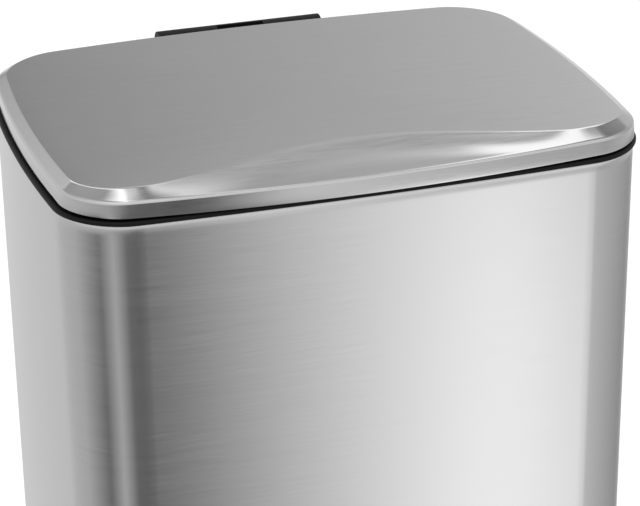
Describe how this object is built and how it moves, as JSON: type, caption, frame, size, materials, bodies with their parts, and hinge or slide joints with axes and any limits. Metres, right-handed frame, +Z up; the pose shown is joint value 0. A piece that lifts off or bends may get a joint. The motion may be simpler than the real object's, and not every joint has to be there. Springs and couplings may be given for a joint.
{
  "type": "pedal bin",
  "caption": "Rectangular brushed-steel pedal bin with a scooped hinged lid, soft-close push rod and lift-out inner bucket.",
  "frame": {"origin": "middle of the overall box, on the floor", "axes": "+X to the right seen from the front, +Y toward the hinge at the back, +Z up; the pedal is at -Y"},
  "size_m": [0.4046, 0.3684, 0.65],
  "materials": {
    "brushed_steel": "fine horizontal brushing, satin",
    "black_plastic": "satin moulded black",
    "grey_plastic": "matt moulded dark grey",
    "rubber": "matt black rubber",
    "nylon": "natural nylon",
    "zinc": "bright zinc plate",
    "black_steel": "black powder coat on steel"
  },
  "bodies": {
    "bin": {"body_shell": "brushed_steel", "top_ring": "black_plastic", "base_moulding": "black_plastic", "inner_bucket": "grey_plastic", "foot_front_left": "rubber", "foot_front_right": "rubber", "foot_rear_left": "rubber", "foot_rear_right": "rubber", "rod_channel": "grey_plastic", "rod_guide_lower": "nylon", "rod_guide_upper": "nylon", "damper_cylinder": "zinc", "damper_clip": "black_plastic", "hinge_cover": "black_plastic", "hinge_bracket": "zinc", "hinge_pin": "zinc", "hinge_clip_left": "zinc", "hinge_clip_right": "zinc", "bracket_screw_left": "zinc", "bracket_screw_right": "zinc", "pedal_axle": "zinc", "axle_clip_left": "zinc", "axle_clip_right": "zinc", "axle_spacer_left": "black_plastic", "axle_spacer_right": "black_plastic"},
    "lid": {"lid_shell": "brushed_steel", "lid_liner": "grey_plastic", "lid_arm": "black_steel", "arm_screw_1": "zinc", "arm_screw_2": "zinc", "arm_screw_3": "zinc", "arm_screw_4": "zinc", "bumper_front_left": "rubber", "bumper_front_right": "rubber", "bumper_rear_left": "rubber", "bumper_rear_right": "rubber", "hinge_bush_left": "nylon", "hinge_bush_right": "nylon"},
    "pedal": {"pedal_lever": "black_steel", "pedal_plate": "brushed_steel", "pedal_tread": "rubber", "pedal_rivet_left": "zinc", "pedal_rivet_right": "zinc", "lever_bush_left": "nylon", "lever_bush_right": "nylon"},
    "rod": {"push_rod": "zinc", "rod_foot": "nylon", "rod_fork": "zinc", "rod_pin": "zinc", "damper_plunger": "zinc"}
  },
  "joints": [
    {"name": "lid_hinge", "type": "hinge", "parent": "bin", "child": "lid", "pos_m": [0, 0.1729, 0.6325], "axis": [-1, 0, 0], "range_deg": [0, 75]},
    {"name": "pedal_hinge", "type": "hinge", "parent": "bin", "child": "pedal", "pos_m": [0, -0.0192, 0.034], "axis": [1, 0, 0], "range_deg": [0, 9.9]},
    {"name": "rod_slide", "type": "slide", "parent": "bin", "child": "rod", "axis": [0, 0, 1], "range_m": [0, 0.03]}
  ],
  "couplings": [
    {"joint": "pedal_hinge", "follows": "lid_hinge", "ratio": 0.13167},
    {"joint": "rod_slide", "follows": "lid_hinge", "m_per_rad": 0.022862}
  ]
}
